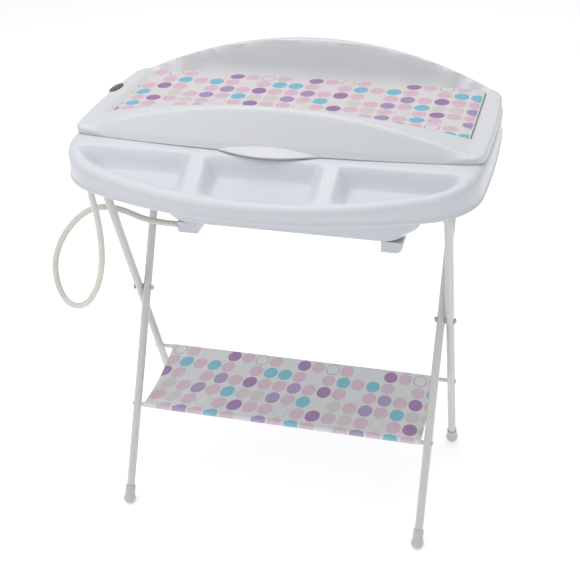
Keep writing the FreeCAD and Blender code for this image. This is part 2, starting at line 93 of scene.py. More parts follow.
def make_camera():
    """The photograph's view, with the frame's middle shifted off the lens's axis."""
    yaw, pitch, roll = (math.radians(angle) for angle in CAMERA_TURN)
    forward = Vector((-math.sin(yaw) * math.cos(pitch),
                      math.cos(yaw) * math.cos(pitch),
                      -math.sin(pitch)))
    level_right = Vector((math.cos(yaw), math.sin(yaw), 0))
    level_up = level_right.cross(forward)
    right = level_right * math.cos(roll) + level_up * math.sin(roll)
    up = right.cross(forward)
    data = bpy.data.cameras.new("camera")
    data.sensor_width = 36
    data.lens = CAMERA_LENS
    data.shift_x, data.shift_y = CAMERA_SHIFT
    camera = bpy.data.objects.new("camera", data)
    turn = Matrix((right, up, -forward)).transposed().to_4x4()
    camera.matrix_world = Matrix.Translation(CAMERA_EYE) @ turn
    scene.collection.objects.link(camera)
    scene.camera = camera


# ------ node helpers
class Nodes:
    """A material's node tree, with short calls for the nodes used here."""

    def __init__(self, name):
        self.material = bpy.data.materials.new(name)
        self.material.use_nodes = True
        self.tree = self.material.node_tree
        self.shader = self.tree.nodes["Principled BSDF"]

    def add(self, kind, links=None, **settings):
        node = self.tree.nodes.new(kind)
        for key, value in settings.items():
            setattr(node, key, value)
        for socket, value in (links or {}).items():
            self.put(node.inputs[socket], value)
        return node

    def put(self, socket, value):
        if isinstance(value, bpy.types.NodeSocket):
            self.tree.links.new(value, socket)
        else:
            socket.default_value = value

    def set(self, **values):
        for key, value in values.items():
            self.put(self.shader.inputs[key.replace("_", " ")], value)

    def math(self, operation, a, b=0.0, c=0.0):
        node = self.add("ShaderNodeMath", {0: a, 1: b, 2: c}, operation=operation)
        return node.outputs[0]

    def times(self, a, b):
        return self.math("MULTIPLY", a, b)

    def plus(self, a, b):
        return self.math("ADD", a, b)

    def minus(self, a, b):
        return self.math("SUBTRACT", a, b)

    def mix(self, factor, a, b):
        node = self.add("ShaderNodeMix", {"Factor": factor}, data_type="RGBA")
        self.put(node.inputs["A"], a)
        self.put(node.inputs["B"], b)
        return node.outputs["Result"]

    def position(self):
        return self.add("ShaderNodeTexCoord").outputs["Object"]

    def noise(self, vector, scale, detail=3.0, roughness=0.5):
        node = self.add("ShaderNodeTexNoise", {"Vector": vector, "Scale": scale, "Detail": detail,
                                               "Roughness": roughness})
        return node.outputs["Fac"]

    def ramp(self, value, low, high):
        node = self.add("ShaderNodeMapRange", {"Value": value, "From Min": low, "From Max": high})
        return node.outputs["Result"]

    def bump(self, height, distance, strength=1.0, normal=None):
        links = {"Height": height, "Distance": distance, "Strength": strength}
        if normal is not None:
            links["Normal"] = normal
        return self.add("ShaderNodeBump", links).outputs["Normal"]

    def combine(self, x, y, z):
        return self.add("ShaderNodeCombineXYZ", {"X": x, "Y": y, "Z": z}).outputs[0]

    def split(self, vector):
        node = self.add("ShaderNodeSeparateXYZ", {0: vector})
        return node.outputs["X"], node.outputs["Y"], node.outputs["Z"]


def moulded_plastic(name, color, roughness, grain=0.00006, wear=0.05):
    """Injection-moulded plastic: slow tone drift, uneven gloss, fine grain and a few scuffs."""
    n = Nodes(name)
    where = n.position()
    drift = n.noise(where, 3.0, 2.0)
    cloudy = n.noise(where, 55.0, 4.0)
    tone = n.mix(n.ramp(drift, 0.3, 0.7), (*[c * 0.975 for c in color], 1), (*color, 1))
    scuffs = n.ramp(n.noise(where, 160.0, 6.0, 0.7), 0.60, 0.74)
    shade = n.mix(n.times(scuffs, wear), tone, (0.62, 0.61, 0.58, 1))
    gloss = n.plus(n.times(cloudy, 0.10), roughness - 0.05)
    gloss = n.plus(gloss, n.times(scuffs, 0.10))
    grain_height = n.noise(where, 900.0, 2.0)
    n.set(Base_Color=shade, Roughness=gloss, Normal=n.bump(grain_height, grain, 0.5))
    n.set(IOR=1.49, Subsurface_Weight=0.06, Subsurface_Scale=0.01, Coat_Weight=0.12, Coat_Roughness=0.2)
    return n.material


def painted_steel(name, color):
    """Powder paint on tube: orange-peel bump, faint grime and chips of bare metal."""
    n = Nodes(name)
    where = n.position()
    peel = n.noise(where, 420.0, 2.0)
    grime = n.ramp(n.noise(where, 9.0, 5.0, 0.6), 0.45, 0.8)
    chips = n.ramp(n.noise(where, 75.0, 6.0, 0.75), 0.765, 0.785)
    paint = n.mix(n.times(grime, 0.16), (*color, 1), (0.60, 0.585, 0.53, 1))
    shade = n.mix(n.times(chips, 0.5), paint, (0.42, 0.41, 0.39, 1))
    n.set(Base_Color=shade, Roughness=n.plus(n.times(grime, 0.14), 0.30))
    n.set(Normal=n.bump(peel, 0.00012, 0.55), Coat_Weight=0.25, Coat_Roughness=0.15, IOR=1.5)
    return n.material


def bare_steel(name, color):
    """Plated steel: brushed streaks round the X axis."""
    n = Nodes(name)
    x, y, z = n.split(n.position())
    streaks = n.noise(n.combine(n.times(x, 900.0), n.times(y, 90.0), n.times(z, 90.0)), 1.0, 4.0)
    stain = n.ramp(n.noise(n.position(), 60.0, 4.0), 0.5, 0.8)
    n.set(Base_Color=n.mix(stain, (*color, 1), (0.34, 0.31, 0.27, 1)), Metallic=1.0)
    n.set(Roughness=n.plus(n.times(streaks, 0.3), 0.22))
    n.set(Normal=n.bump(streaks, 0.00008, 0.6))
    return n.material


def soft_rubber(name, color):
    """Dull rubber with a little dust on it."""
    n = Nodes(name)
    where = n.position()
    dust = n.ramp(n.noise(where, 120.0, 5.0), 0.45, 0.8)
    n.set(Base_Color=n.mix(n.times(dust, 0.3), (*color, 1), (0.45, 0.36, 0.36, 1)))
    n.set(Roughness=n.plus(n.times(dust, 0.2), 0.5))
    n.set(Normal=n.bump(n.noise(where, 1500.0, 2.0), 0.0001, 0.5))
    return n.material


def hose_pvc(name, color):
    """Soft vinyl hose: cloudy, slightly see-through, with fine draw lines along it."""
    n = Nodes(name)
    where = n.position()
    cloud = n.noise(where, 26.0, 4.0)
    n.set(Base_Color=n.mix(n.ramp(cloud, 0.3, 0.75), (*color, 1), (0.66, 0.655, 0.59, 1)))
    n.set(Roughness=n.plus(n.times(cloud, 0.15), 0.28))
    n.set(Normal=n.bump(n.noise(where, 300.0, 3.0), 0.0001, 0.5))
    n.set(Subsurface_Weight=0.25, Subsurface_Scale=0.008, IOR=1.52, Coat_Weight=0.1)
    return n.material


# the print: dot colours along each row of its repeat, rear row first
PRINT_ROWS = ("vkok.vkok..", "k.kttk.ktkt", "lkvkklkvk.k", "ktwwlkt.wkl", "fkvkkfkvkwk", "ktk.lktk.kl")
# red, green, blue, and 1 for a filled dot, 0.5 for a ring or 0 for none
PRINT_COLORS = {"k": (0.68, 0.505, 0.585, 1), "t": (0.21, 0.52, 0.64, 1),
                "v": (0.36, 0.205, 0.42, 1), "l": (0.405, 0.318, 0.515, 1),
                "w": (0.645, 0.60, 0.605, 1), "o": (0.26, 0.25, 0.27, 0.5),
                "f": (0.58, 0.53, 0.535, 0.5), ".": (0.65, 0.65, 0.65, 0)}
PRINT_COLUMNS = 11


def dotted(name, first, pitch, row_pitch, dot_radius, ground, spread, tilt, gloss, weave, hem_x, depth):
    """Printed cloth.

    first is the place of the repeat's first dot, pitch and row_pitch its steps across and back.
    spread is the row growth, widening and sideways lean of a cloth drawn out towards its front,
    and tilt turns the rows. weave is the thread spacing, hem_x where the side hems start, and a
    depth over 1 makes the inks richer.
    """
    n = Nodes(name)
    x, y, _ = n.split(n.position())
    forward = n.minus(n.plus(first[1], n.times(x, tilt)), y)
    growth, widening, lean = spread
    root = n.math("SQRT", n.plus(n.times(forward, 4 * growth), row_pitch ** 2))
    row_at = n.plus(n.math("DIVIDE", n.minus(root, row_pitch), 2 * growth), 0.5)
    sideways = n.plus(n.minus(x, first[0]), n.times(forward, lean))
    wide = n.plus(n.times(forward, widening), 1.0)
    along = n.plus(n.math("DIVIDE", n.math("DIVIDE", sideways, wide), pitch), 0.5)
    row, column = n.math("FLOOR", row_at), n.math("FLOOR", along)
    dx = n.times(n.minus(n.minus(along, column), 0.5), pitch)
    dy = n.times(n.minus(n.minus(row_at, row), 0.5), pitch * 0.97)
    distance = n.math("SQRT", n.plus(n.times(dx, dx), n.times(dy, dy)))
    inside = n.ramp(distance, dot_radius + 0.0004, dot_radius - 0.0004)
    place = n.plus(n.math("FLOORED_MODULO", column, PRINT_COLUMNS), 0.5)
    place = n.math("DIVIDE", place, PRINT_COLUMNS)
    row_number = n.math("FLOORED_MODULO", row, len(PRINT_ROWS))
    color, kind = (0, 0, 0, 1), 0.0
    for index, letters in enumerate(PRINT_ROWS):
        dots = n.add("ShaderNodeValToRGB", {"Fac": place})
        ramp = dots.color_ramp
        ramp.interpolation = "CONSTANT"
        for k, letter in enumerate(letters):
            stop = ramp.elements[0] if k == 0 else ramp.elements.new(k / PRINT_COLUMNS)
            *ink, amount = PRINT_COLORS[letter]
            stop.color = [channel ** depth for channel in ink] + [amount]
        ramp.elements.remove(ramp.elements[-1])
        chosen = n.math("COMPARE", row_number, index, 0.25)
        color = n.mix(chosen, color, dots.outputs["Color"])
        kind = n.plus(kind, n.times(chosen, dots.outputs["Alpha"]))
    filled = n.math("GREATER_THAN", kind, 0.75)
    ringed = n.minus(n.math("GREATER_THAN", kind, 0.25), filled)
    line = n.times(inside, n.ramp(distance, dot_radius - 0.0018, dot_radius - 0.0012))
    faded = n.times(n.ramp(n.noise(n.position(), 700.0, 3.0), 0.2, 0.9), 0.12)
    ink = n.mix(faded, color, ground)
    covered = n.plus(n.times(inside, filled), n.times(line, ringed))
    shade = n.mix(covered, ground, ink)
    thread = math.tau / weave
    cloth = n.times(n.math("SINE", n.times(x, thread)), n.math("SINE", n.times(y, thread)))
    normal = n.bump(cloth, 0.0001, 0.3)
    normal = n.bump(n.noise(n.position(), 14.0, 3.0), 0.004, 0.22, normal)
    side = n.math("ABSOLUTE", x)
    hem = n.ramp(side, hem_x - 0.0007, hem_x + 0.0007)
    beside = n.ramp(n.math("ABSOLUTE", n.minus(side, hem_x + 0.0025)), 0.0007, 0.0003)
    dashes = n.math("GREATER_THAN", n.math("SINE", n.times(y, 1900.0)), -0.2)
    stitch = n.times(beside, dashes)
    normal = n.bump(n.plus(hem, stitch), 0.0006, 0.8, normal)
    shade = n.mix(n.times(stitch, 0.6), shade, (0.74, 0.73, 0.72, 1))
    n.set(Base_Color=shade, Roughness=gloss, Normal=normal, Sheen_Weight=0.1, Sheen_Roughness=0.4)
    return n.material


def hem_tape(name, color):
    """Plain woven tape."""
    n = Nodes(name)
    x, y, z = n.split(n.position())
    thread = 5200.0
    rib = n.times(n.math("SINE", n.times(x, thread)), n.math("SINE", n.times(n.plus(y, z), thread)))
    tone = n.ramp(n.noise(n.position(), 30.0, 4.0), 0.3, 0.8)
    n.set(Base_Color=n.mix(tone, (*color, 1), (*[c * 0.93 for c in color], 1)), Roughness=0.75)
    n.set(Normal=n.bump(rib, 0.0001, 0.4), Sheen_Weight=0.2)
    return n.material


def studio_floor(name):
    """Pale matt floor that glows a little, so that it stays as light as a studio's backdrop."""
    n = Nodes(name)
    cloud = n.noise(n.position(), 0.6, 2.0)
    n.set(Base_Color=n.mix(cloud, (0.93, 0.93, 0.93, 1), (0.95, 0.95, 0.95, 1)), Roughness=0.85)
    n.set(Emission_Color=(1, 1, 1, 1), Emission_Strength=0.32)
    return n.material


def make_materials():
    """Every material in the scene, by a short name."""
    return {
        "bath": moulded_plastic("bath_white", (0.60, 0.625, 0.665), 0.34),
        "top": moulded_plastic("top_white", (0.62, 0.63, 0.65), 0.36),
        "clip": moulded_plastic("clip_white", (0.62, 0.62, 0.62), 0.5, 0.0001),
        "foot": moulded_plastic("foot_grey_white", (0.55, 0.545, 0.52), 0.45, 0.0001, 0.15),
        "tube": painted_steel("tube_paint", (0.61, 0.61, 0.58)),
        "steel": bare_steel("plated_steel", (0.60, 0.59, 0.57)),
        "hose": hose_pvc("hose_vinyl", (0.64, 0.635, 0.585)),
        "ring": soft_rubber("ring_dark_red", (0.14, 0.008, 0.022)),
        "buffer": soft_rubber("buffer_grey", (0.6, 0.6, 0.6)),
        "badge": moulded_plastic("badge_grey", (0.075, 0.075, 0.07), 0.22, 0.00003, 0.0),
        "shelf": dotted("shelf_print", first=(-0.1697, 0.0299), pitch=0.0365, row_pitch=0.0341,
                        dot_radius=0.0163, ground=(0.72, 0.715, 0.71, 1), spread=(0.0015, 0.44, 0.19),
                        tilt=-0.0136, gloss=0.6, weave=0.0011, hem_x=0.326, depth=1.0),
        "mat": dotted("mat_print", first=(-0.1831, 0.2406), pitch=0.0381, row_pitch=0.0474,
                      dot_radius=0.0168, ground=(0.61, 0.57, 0.575, 1),
                      spread=(-0.00146, -0.042, -0.03), tilt=0.0168, gloss=0.4, weave=0.0016,
                      hem_x=0.384, depth=1.4),
        "hem": hem_tape("hem_white", (0.66, 0.65, 0.64)),
        "floor": studio_floor("floor_pale"),
    }


# ------ mesh helpers
def new_object(name, mesh, material, body=None):
    """Puts a mesh in the scene with its material, riding on a body of the frame."""
    obj = bpy.data.objects.new(name, mesh)
    scene.collection.objects.link(obj)
    mesh.materials.append(material)
    if body:
        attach(obj, body)
    return obj


def add_piece(shell, name, material, body, angle, stands_for=None):
    """Puts a finished shell in the scene, shaded smooth up to angle, in place of a CAD node."""
    mesh = shell.finish(name, 1e-6)
    obj = new_object(name, mesh, material, body)
    smooth(mesh, angle)
    if stands_for:
        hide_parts(stands_for)


def smooth(mesh, angle):
    mesh.polygons.foreach_set("use_smooth", [True] * len(mesh.polygons))
    mesh.set_sharp_from_angle(angle=math.radians(angle))


def apply_modifiers(obj):
    evaluated = obj.evaluated_get(bpy.context.evaluated_depsgraph_get())
    mesh = bpy.data.meshes.new_from_object(evaluated)
    obj.modifiers.clear()
    obj.data = mesh


class Shell:
    """Faces gathered as rings and filled areas, welded into one mesh at the end."""

    def __init__(self):
        self.bm = bmesh.new()

    def rings(self, loops, caps=()):
        """Joins loops of equal count one to the next, and closes those in caps, such as 0 or -1."""
        made = [[self.bm.verts.new(point) for point in loop] for loop in loops]
        for outer, inner in zip(made, made[1:]):
            for i in range(len(outer)):
                j = (i + 1) % len(outer)
                self.bm.faces.new((outer[i], outer[j], inner[j], inner[i]))
        for cap in caps:
            self.bm.faces.new(made[cap])

    def fill(self, outline, holes, height, spacing, rows=None):
        """Triangulates the plan area between an outline and its holes, lifted by height(x, y)."""
        loops = [[Vector((p[0], p[1])) for p in loop] for loop in [outline] + holes]
        points, edges = [], []
        for loop in loops:
            base = len(points)
            points += loop
            edges += [(base + i, base + (i + 1) % len(loop)) for i in range(len(loop))]
        low_x, high_x = min(p.x for p in loops[0]), max(p.x for p in loops[0])
        low_y, high_y = min(p.y for p in loops[0]), max(p.y for p in loops[0])
        rows = rows or [low_y + spacing * k for k in range(1, int((high_y - low_y) / spacing))]
        columns = int((high_x - low_x) / spacing)
        margin = spacing * 0.45
        for y in rows:
            for k in range(columns + 1):
                p = Vector((low_x + (high_x - low_x) * k / columns, y))
                if inside(p, loops[0]) and not any(inside(p, hole) for hole in loops[1:]):
                    if all(not near(p, loop, margin) for loop in loops):
                        points.append(p)
        made, made_edges, faces, _, sources, _ = delaunay_2d_cdt(points, edges, [], 0, 1e-7)
        walls = {frozenset(edge) for edge, source in zip(made_edges, sources) if source}
        sides = {}
        for face in faces:
            for i, j in zip(face, face[1:] + face[:1]):
                sides.setdefault(frozenset((i, j)), []).append(face)

        def area(face):
            a, b, c = (made[i] for i in face[:3])
            return abs((b - a).cross(c - a))

        def within(face):
            middle = sum((made[i] for i in face), Vector((0, 0))) / len(face)
            return inside(middle, loops[0]) and not any(inside(middle, hole) for hole in loops[1:])

        # spreads from one sure face out to the loops, so that slivers along them are sorted right
        reached = [max((face for face in faces if within(face)), key=area)]
        kept = {tuple(reached[0])}
        while reached:
            face = reached.pop()
            for i, j in zip(face, face[1:] + face[:1]):
                if frozenset((i, j)) in walls:
                    continue
                for other in sides[frozenset((i, j))]:
                    if tuple(other) not in kept:
                        kept.add(tuple(other))
                        reached.append(other)
        verts = [self.bm.verts.new((p.x, p.y, height(p.x, p.y))) for p in made]
        for face in faces:
            if tuple(face) in kept:
                self.bm.faces.new([verts[i] for i in face])

    def finish(self, name, weld=2e-5):
        """Welds the faces and gives them as a mesh."""
        bmesh.ops.remove_doubles(self.bm, verts=self.bm.verts, dist=weld)
        loose = [v for v in self.bm.verts if not v.link_faces]
        bmesh.ops.delete(self.bm, geom=loose, context="VERTS")
        bmesh.ops.recalc_face_normals(self.bm, faces=self.bm.faces)
        mesh = bpy.data.meshes.new(name)
        self.bm.to_mesh(mesh)
        self.bm.free()
        return mesh


def inside(p, loop):
    """Whether the point lies inside the closed loop."""
    within = False
    j = len(loop) - 1
    for i, a in enumerate(loop):
        b = loop[j]
        if (a.y > p.y) != (b.y > p.y) and p.x < (b.x - a.x) * (p.y - a.y) / (b.y - a.y) + a.x:
            within = not within
        j = i
    return within


def near(p, loop, margin):
    """Whether the point is within margin of one of the loop's points."""
    return any(abs(q.x - p.x) < margin and abs(q.y - p.y) < margin for q in loop)


def even(loop, count):
    """The closed loop resampled to count evenly spaced points."""
    closed = [Vector(p) for p in loop] + [Vector(loop[0])]
    lengths = [0.0]
    for a, b in zip(closed, closed[1:]):
        lengths.append(lengths[-1] + (b - a).length)
    result, at = [], 0
    for k in range(count):
        target = lengths[-1] * k / count
        while lengths[at + 1] < target:
            at += 1
        span = lengths[at + 1] - lengths[at]
        share = (target - lengths[at]) / span if span else 0
        result.append(closed[at].lerp(closed[at + 1], share))
    return result


def softened(loop, spread):
    """The closed, evenly spaced loop with its corners rounded; spread is in points."""
    reach = int(3 * spread)
    weights = [math.exp(-0.5 * (k / spread) ** 2) for k in range(-reach, reach + 1)]
    total = sum(weights)
    count = len(loop)
    result = []
    for i in range(count):
        point = Vector((0, 0))
        for k, weight in zip(range(-reach, reach + 1), weights):
            point += loop[(i + k) % count] * (weight / total)
        result.append(point)
    return result


def smooth_min(a, b, width):
    """The lower of two heights, rounded where they are within width of each other."""
    blend = max(width - abs(a - b), 0.0) / width
    return min(a, b) - blend * blend * width * 0.25


def smooth_max(a, b, width):
    return -smooth_min(-a, -b, width)


# ------ plan outlines
def direction(a):
    """The unit vector in plan at the angle a."""
    return Vector((math.cos(a), math.sin(a)))


def outline(inset):
    """The bath's plan outline, moved in by inset, anticlockwise from the front middle."""
    here = Vector((0, FRONT_Y))
    heading = 0.0
    right = []
    for radius, turn, steps in OUTLINE_ARCS:
        angle = math.radians(heading)
        centre = here + Vector((-math.sin(angle), math.cos(angle))) * radius
        for k in range(steps):
            a = math.radians(heading - 90 + turn * k / steps)
            right.append(centre + direction(a) * (radius - inset))
        heading += turn
        a = math.radians(heading - 90)
        here = centre + direction(a) * radius
    back_r = here.x / math.sin(math.radians(180 - heading))
    centre = Vector((0, here.y - back_r * math.cos(math.radians(180 - heading))))
    for k in range(BACK_STEPS + 1):
        a = math.radians(heading - 90 + (180 - heading) * k / BACK_STEPS)
        right.append(centre + direction(a) * (back_r - inset))
    left = [Vector((-p.x, p.y)) for p in reversed(right[1:-1])]
    return right + left


def seam_y(x):
    """The changing top's bowed front edge."""
    return SEAM_Y + SEAM_R - math.sqrt(SEAM_R ** 2 - x * x)


def deck_height(_, y):
    """The bath's top surface: level under the top, sloping down to the front over the tray."""
    past = smooth_max((SEAM_Y - y) / (SEAM_Y - FRONT_Y), 0.0, 0.08)
    return RIM_Z - TRAY_DROP * past


# ------ bath
RECESS_BAND = 0.021
RECESS_REAR_Y = SEAM_Y - 0.014
RECESS_FLOOR_Z = 0.850
RECESS_SOFTNESS = 0.034      # width over which a compartment's wall sweeps down to its floor
DIVIDER_REAR_X = (0.129, 0.155)     # inner and outer side of a divider's crest
DIVIDER_FRONT_X = (0.121, 0.147)
RECESS_LEAN = 0.12           # the compartments lean to the right towards the front
RECESS_COUNT = 168
BASIN_COUNT = 192
BASIN_LEAST_CORNER = 0.008
# level sections of the bath's inside: height, half width, front and rear, corner radius
BASIN_LEVELS = [(0.669, 0.259, -0.058, 0.056, 0.041), (0.700, 0.300, -0.069, 0.073, 0.049),
                (0.805, 0.315, -0.098, 0.116, 0.057), (0.894, 0.337, -0.123, 0.216, 0.063)]
DRAIN = Vector((-0.228, -0.031))
DRAIN_R = 0.0142


def divider_x(row, y):
    """Where a divider's inner (row 0) or outer (row 1) side stands at y."""
    share = (y - FRONT_Y) / (RECESS_REAR_Y - FRONT_Y)
    return DIVIDER_FRONT_X[row] + (DIVIDER_REAR_X[row] - DIVIDER_FRONT_X[row]) * share


def recess_loop(side, inset):
    """Plan loop of one compartment, moved in by inset. side is -1, 0 or 1."""
    rear = RECESS_REAR_Y - inset
    band = [p for p in outline(RECESS_BAND + inset) if p.y < rear]
    if side == 0:
        def limit(y):
            return divider_x(0, y) - inset
        front = sorted((p for p in band if abs(p.x) < limit(p.y)), key=lambda p: p.x)
        corner_y = front[-1].y
        edge = limit(corner_y)
        loop = [Vector((-limit(rear), rear)), Vector((-edge, corner_y))] + front
        loop += [Vector((edge, corner_y)), Vector((limit(rear), rear))]
    else:
        def limit(y):
            return divider_x(1, y) + inset
        front = sorted((p for p in band if p.x > limit(p.y)), key=lambda p: p.x)
        corner_y = front[0].y
        outer = front[-1]
        loop = [Vector((limit(rear), rear)), Vector((limit(corner_y), corner_y))] + front
        loop += [Vector((outer.x + (rear - outer.y) * 0.12, rear))]
        if side < 0:
            loop = [Vector((-p.x, p.y)) for p in reversed(loop)]
            loop = loop[-1:] + loop[:-1]
    loop = [Vector((p.x + RECESS_LEAN * (RECESS_REAR_Y - p.y), p.y)) for p in loop]
    return softened(even(loop, RECESS_COUNT), 2.2)


def fillet_stops(radius, steps):
    """Quarter-round as (inwards, downwards) pairs, from level to upright."""
    stops = []
    for k in range(steps + 1):
        a = math.pi / 2 * k / steps
        stops.append((radius * math.sin(a), radius * (1 - math.cos(a))))
    return stops


def recess_rings(shell, side):
    """One compartment: a soft edge, walls that sweep down and a floor. Returns its top loop."""
    overlap = 0.002
    top = recess_loop(side, -overlap)
    steps = 14
    rings = []
    for k in range(steps + 1):
        share = k / steps
        fall = share * share * (3 - 2 * share)
        loop = recess_loop(side, RECESS_SOFTNESS * share - overlap)
        ring = []
        for p, q in zip(loop, top):
            height = deck_height(q.x, q.y)
            ring.append((p.x, p.y, height + (RECESS_FLOOR_Z - height) * fall))
        rings.append(ring)
    shell.rings(rings)
    shell.fill([Vector(p[:2]) for p in rings[-1]], [], lambda x, y: RECESS_FLOOR_Z, 0.012)
    return top


def basin_section(z):
    """Half width, front, rear and corner radius of the bath's inside at height z."""
    for low, high in zip(BASIN_LEVELS, BASIN_LEVELS[1:]):
        if z <= high[0] or high is BASIN_LEVELS[-1]:
            share = (z - low[0]) / (high[0] - low[0])
            return [a + (b - a) * share for a, b in zip(low[1:], high[1:])]


def rounded_box(half_x, low_y, high_y, radius, count):
    """Evenly spaced loop round a rounded rectangle, starting at the middle of its front."""
    loop = [Vector((0, low_y))]
    centres = [(half_x - radius, low_y + radius, -90), (half_x - radius, high_y - radius, 0),
               (-half_x + radius, high_y - radius, 90), (-half_x + radius, low_y + radius, 180)]
    for cx, cy, start in centres:
        for k in range(13):
            a = math.radians(start + 90 * k / 12)
            loop.append(Vector((cx + radius * math.cos(a), cy + radius * math.sin(a))))
    return even(loop, count)


def basin_loop(z, inset):
    """The bath's inside at height z, moved in by inset."""
    half_x, low_y, high_y, radius = basin_section(z)
    radius = max(radius - inset, BASIN_LEAST_CORNER)
    return rounded_box(half_x - inset, low_y + inset, high_y - inset, radius, BASIN_COUNT)


def basin_rings(shell):
    """The bath's inside, from its rolled top edge to the floor with the drain hole."""
    roll, foot = 0.012, 0.009
    floor_z = BASIN_LEVELS[0][0]
    rings = []
    for across, down in fillet_stops(roll, 6):
        loop = basin_loop(RIM_Z - down, across - roll)
        rings.append([(p.x, p.y, deck_height(p.x, p.y) - down) for p in loop])
    top = [Vector(p[:2]) for p in rings[0]]
    steps = 30
    for k in range(1, steps):
        z = RIM_Z - roll - (RIM_Z - roll - floor_z - foot) * k / steps
        rings.append([(p.x, p.y, z) for p in softened(basin_loop(z, 0), 1.5)])
    for across, down in reversed(fillet_stops(foot, 8)):
        z = floor_z + down
        rings.append([(p.x, p.y, z) for p in basin_loop(z, foot - across)])
    shell.rings(rings)
    hole = [DRAIN + direction(math.tau * k / 40) * DRAIN_R for k in range(40)]
    shell.fill([Vector(p[:2]) for p in rings[-1]], [hole], lambda x, y: floor_z, 0.012)
    return top


def build_bath(materials):
    """The bath in one shell: bead, rim, tray with its compartments, and basin."""
    shell = Shell()
    rings = []
    top = outline(RIM_ROLL)
    crest = [deck_height(p.x, p.y) for p in top]
    bead_height = 0.007
    # how far in and how high each ring of the bead lies
    bead = [(0.0006, 0.0), (-0.0012, 0.0003), (-0.0023, 0.0014), (-0.0025, 0.0030), (-0.0021, 0.0045),
            (-0.0010, 0.0056), (-0.0001, bead_height)]
    for inset, rise in bead:
        rings.append([(p.x, p.y, LIP_Z + rise) for p in outline(inset)])
    for share in (0.33, 0.66):
        rings.append([(p.x, p.y, LIP_Z + bead_height + (h - RIM_ROLL - LIP_Z - bead_height) * share)
                      for p, h in zip(outline(0), crest)])
    for across, down in reversed(fillet_stops(RIM_ROLL, 10)):
        rings.append([(p.x, p.y, h - down) for p, h in zip(outline(RIM_ROLL - across), crest)])
    shell.rings(rings)
    holes = [recess_rings(shell, side) for side in (-1, 0, 1)] + [basin_rings(shell)]
    shell.fill(top, holes, deck_height, 0.014)
    add_moulding(shell, "bath_shell", materials["bath"], "bath", "bath_tub")


def point_up(mesh):
    """Turns the shell's faces so that its widest level faces look up."""
    up = sum(face.normal.z * face.area for face in mesh.polygons)
    if up < 0:
        mesh.flip_normals()


def add_moulding(shell, name, material, body, stands_for):
    """Puts a shell in the scene and gives it its wall, on the side away from its faces' normals."""
    mesh = shell.finish(name)
    obj = new_object(name, mesh, material, body)
    point_up(mesh)
    solid = obj.modifiers.new("wall", "SOLIDIFY")
    solid.thickness = WALL
    solid.offset = -1
    solid.use_even_offset = False
    apply_modifiers(obj)
    smooth(obj.data, 40)
    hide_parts(stands_for)


# ------ changing top
TOP_Z = RIM_Z + 0.0003
TOP_INSET = 0.003            # the top stays this far inside the bath's outline
TOP_SEAM_GAP = 0.004
TOP_COUNT = 300
BORDER_Z = 0.912
BORDER_DIP = 0.004           # the border falls by this much towards the mat
BORDER_DIP_WIDTH = 0.022
PAN_Z = 0.900                # floor of the pan that the mat lies in
PAN_CORNER = 0.022
PAN_STEP = 0.005             # width of the step from the pan to the border
FRONT_ARCH = (0.9725, 1.36)  # crown height and radius
FRONT_FACE_SLOPE = 1.5
FRONT_BACK_SLOPE = 2.15
FRONT_DEPTH = 0.100          # from the seam to the foot of the front guard's back
REAR_ARCH = (0.990, 1.06)
REAR_FACE_SLOPE = 4.5
REAR_DEPTH = 0.022           # from the rear guard's foot to the outline
EDGE_ROLL = 0.007            # radius of the top's rounded edge
REAR_EDGE = sorted((p.x, p.y) for p in outline(TOP_INSET) if p.y > 0.15 and p.x >= 0)


def top_outline(inset):
    """The changing top's plan outline: the bath's, moved in, with its own bowed front edge."""
    ring = [p for p in outline(TOP_INSET + inset) if p.y > seam_y(p.x) + inset + TOP_SEAM_GAP]
    ring.sort(key=lambda p: math.atan2(p.x, p.y - 0.08), reverse=True)
    right, left = ring[0].x, ring[-1].x
    steps = 60
    front = []
    for k in range(steps + 1):
        x = left + (right - left) * k / steps
        front.append(Vector((x, seam_y(x) + inset)))
    return even(softened(even(front + ring, TOP_COUNT * 3), 6.0), TOP_COUNT)


def arch_height(arch, x):
    """Height of a guard's arched edge at the place x."""
    crown, radius = arch
    return crown - radius + math.sqrt(radius ** 2 - x * x)


def rear_edge(x):
    """How far back the top's outline reaches at the place x."""
    for (x0, y0), (x1, y1) in zip(REAR_EDGE, REAR_EDGE[1:]):
        if x0 <= abs(x) <= x1:
            return y0 + (y1 - y0) * (abs(x) - x0) / (x1 - x0)
    return REAR_EDGE[-1][1]


def top_height(x, y):
    """The changing top's upper surface."""
    u = y - seam_y(x)
    face = TOP_Z + 0.003 + FRONT_FACE_SLOPE * u
    back = TOP_Z + FRONT_BACK_SLOPE * (FRONT_DEPTH - u)
    guard = smooth_min(smooth_min(face, back, 0.014), arch_height(FRONT_ARCH, x), 0.007)
    rear_foot = min(mat_high.y + 0.003, rear_edge(x) - REAR_DEPTH)
    rear_face = PAN_Z + (y - rear_foot) * REAR_FACE_SLOPE
    rear = smooth_min(rear_face, arch_height(REAR_ARCH, x), 0.010)
    pan_x, pan_front, pan_rear = mat_high.x + 0.0005, mat_low.y - 0.004, mat_high.y + 0.004
    dx = max(abs(x) - pan_x + PAN_CORNER, 0.0)
    dy = max(pan_front + PAN_CORNER - y, y - pan_rear + PAN_CORNER, 0.0)
    across = math.hypot(dx, dy) - PAN_CORNER
    dip = BORDER_DIP * max(1 - max(across, 0.0) / BORDER_DIP_WIDTH, 0.0)
    border = min(BORDER_Z - dip, face)
    step = min(max(across / PAN_STEP, 0.0), 1.0)
    step = step * step * (3 - 2 * step)
    base = PAN_Z + (border - PAN_Z) * step
    return smooth_max(smooth_max(base, guard, 0.005), rear, 0.006)


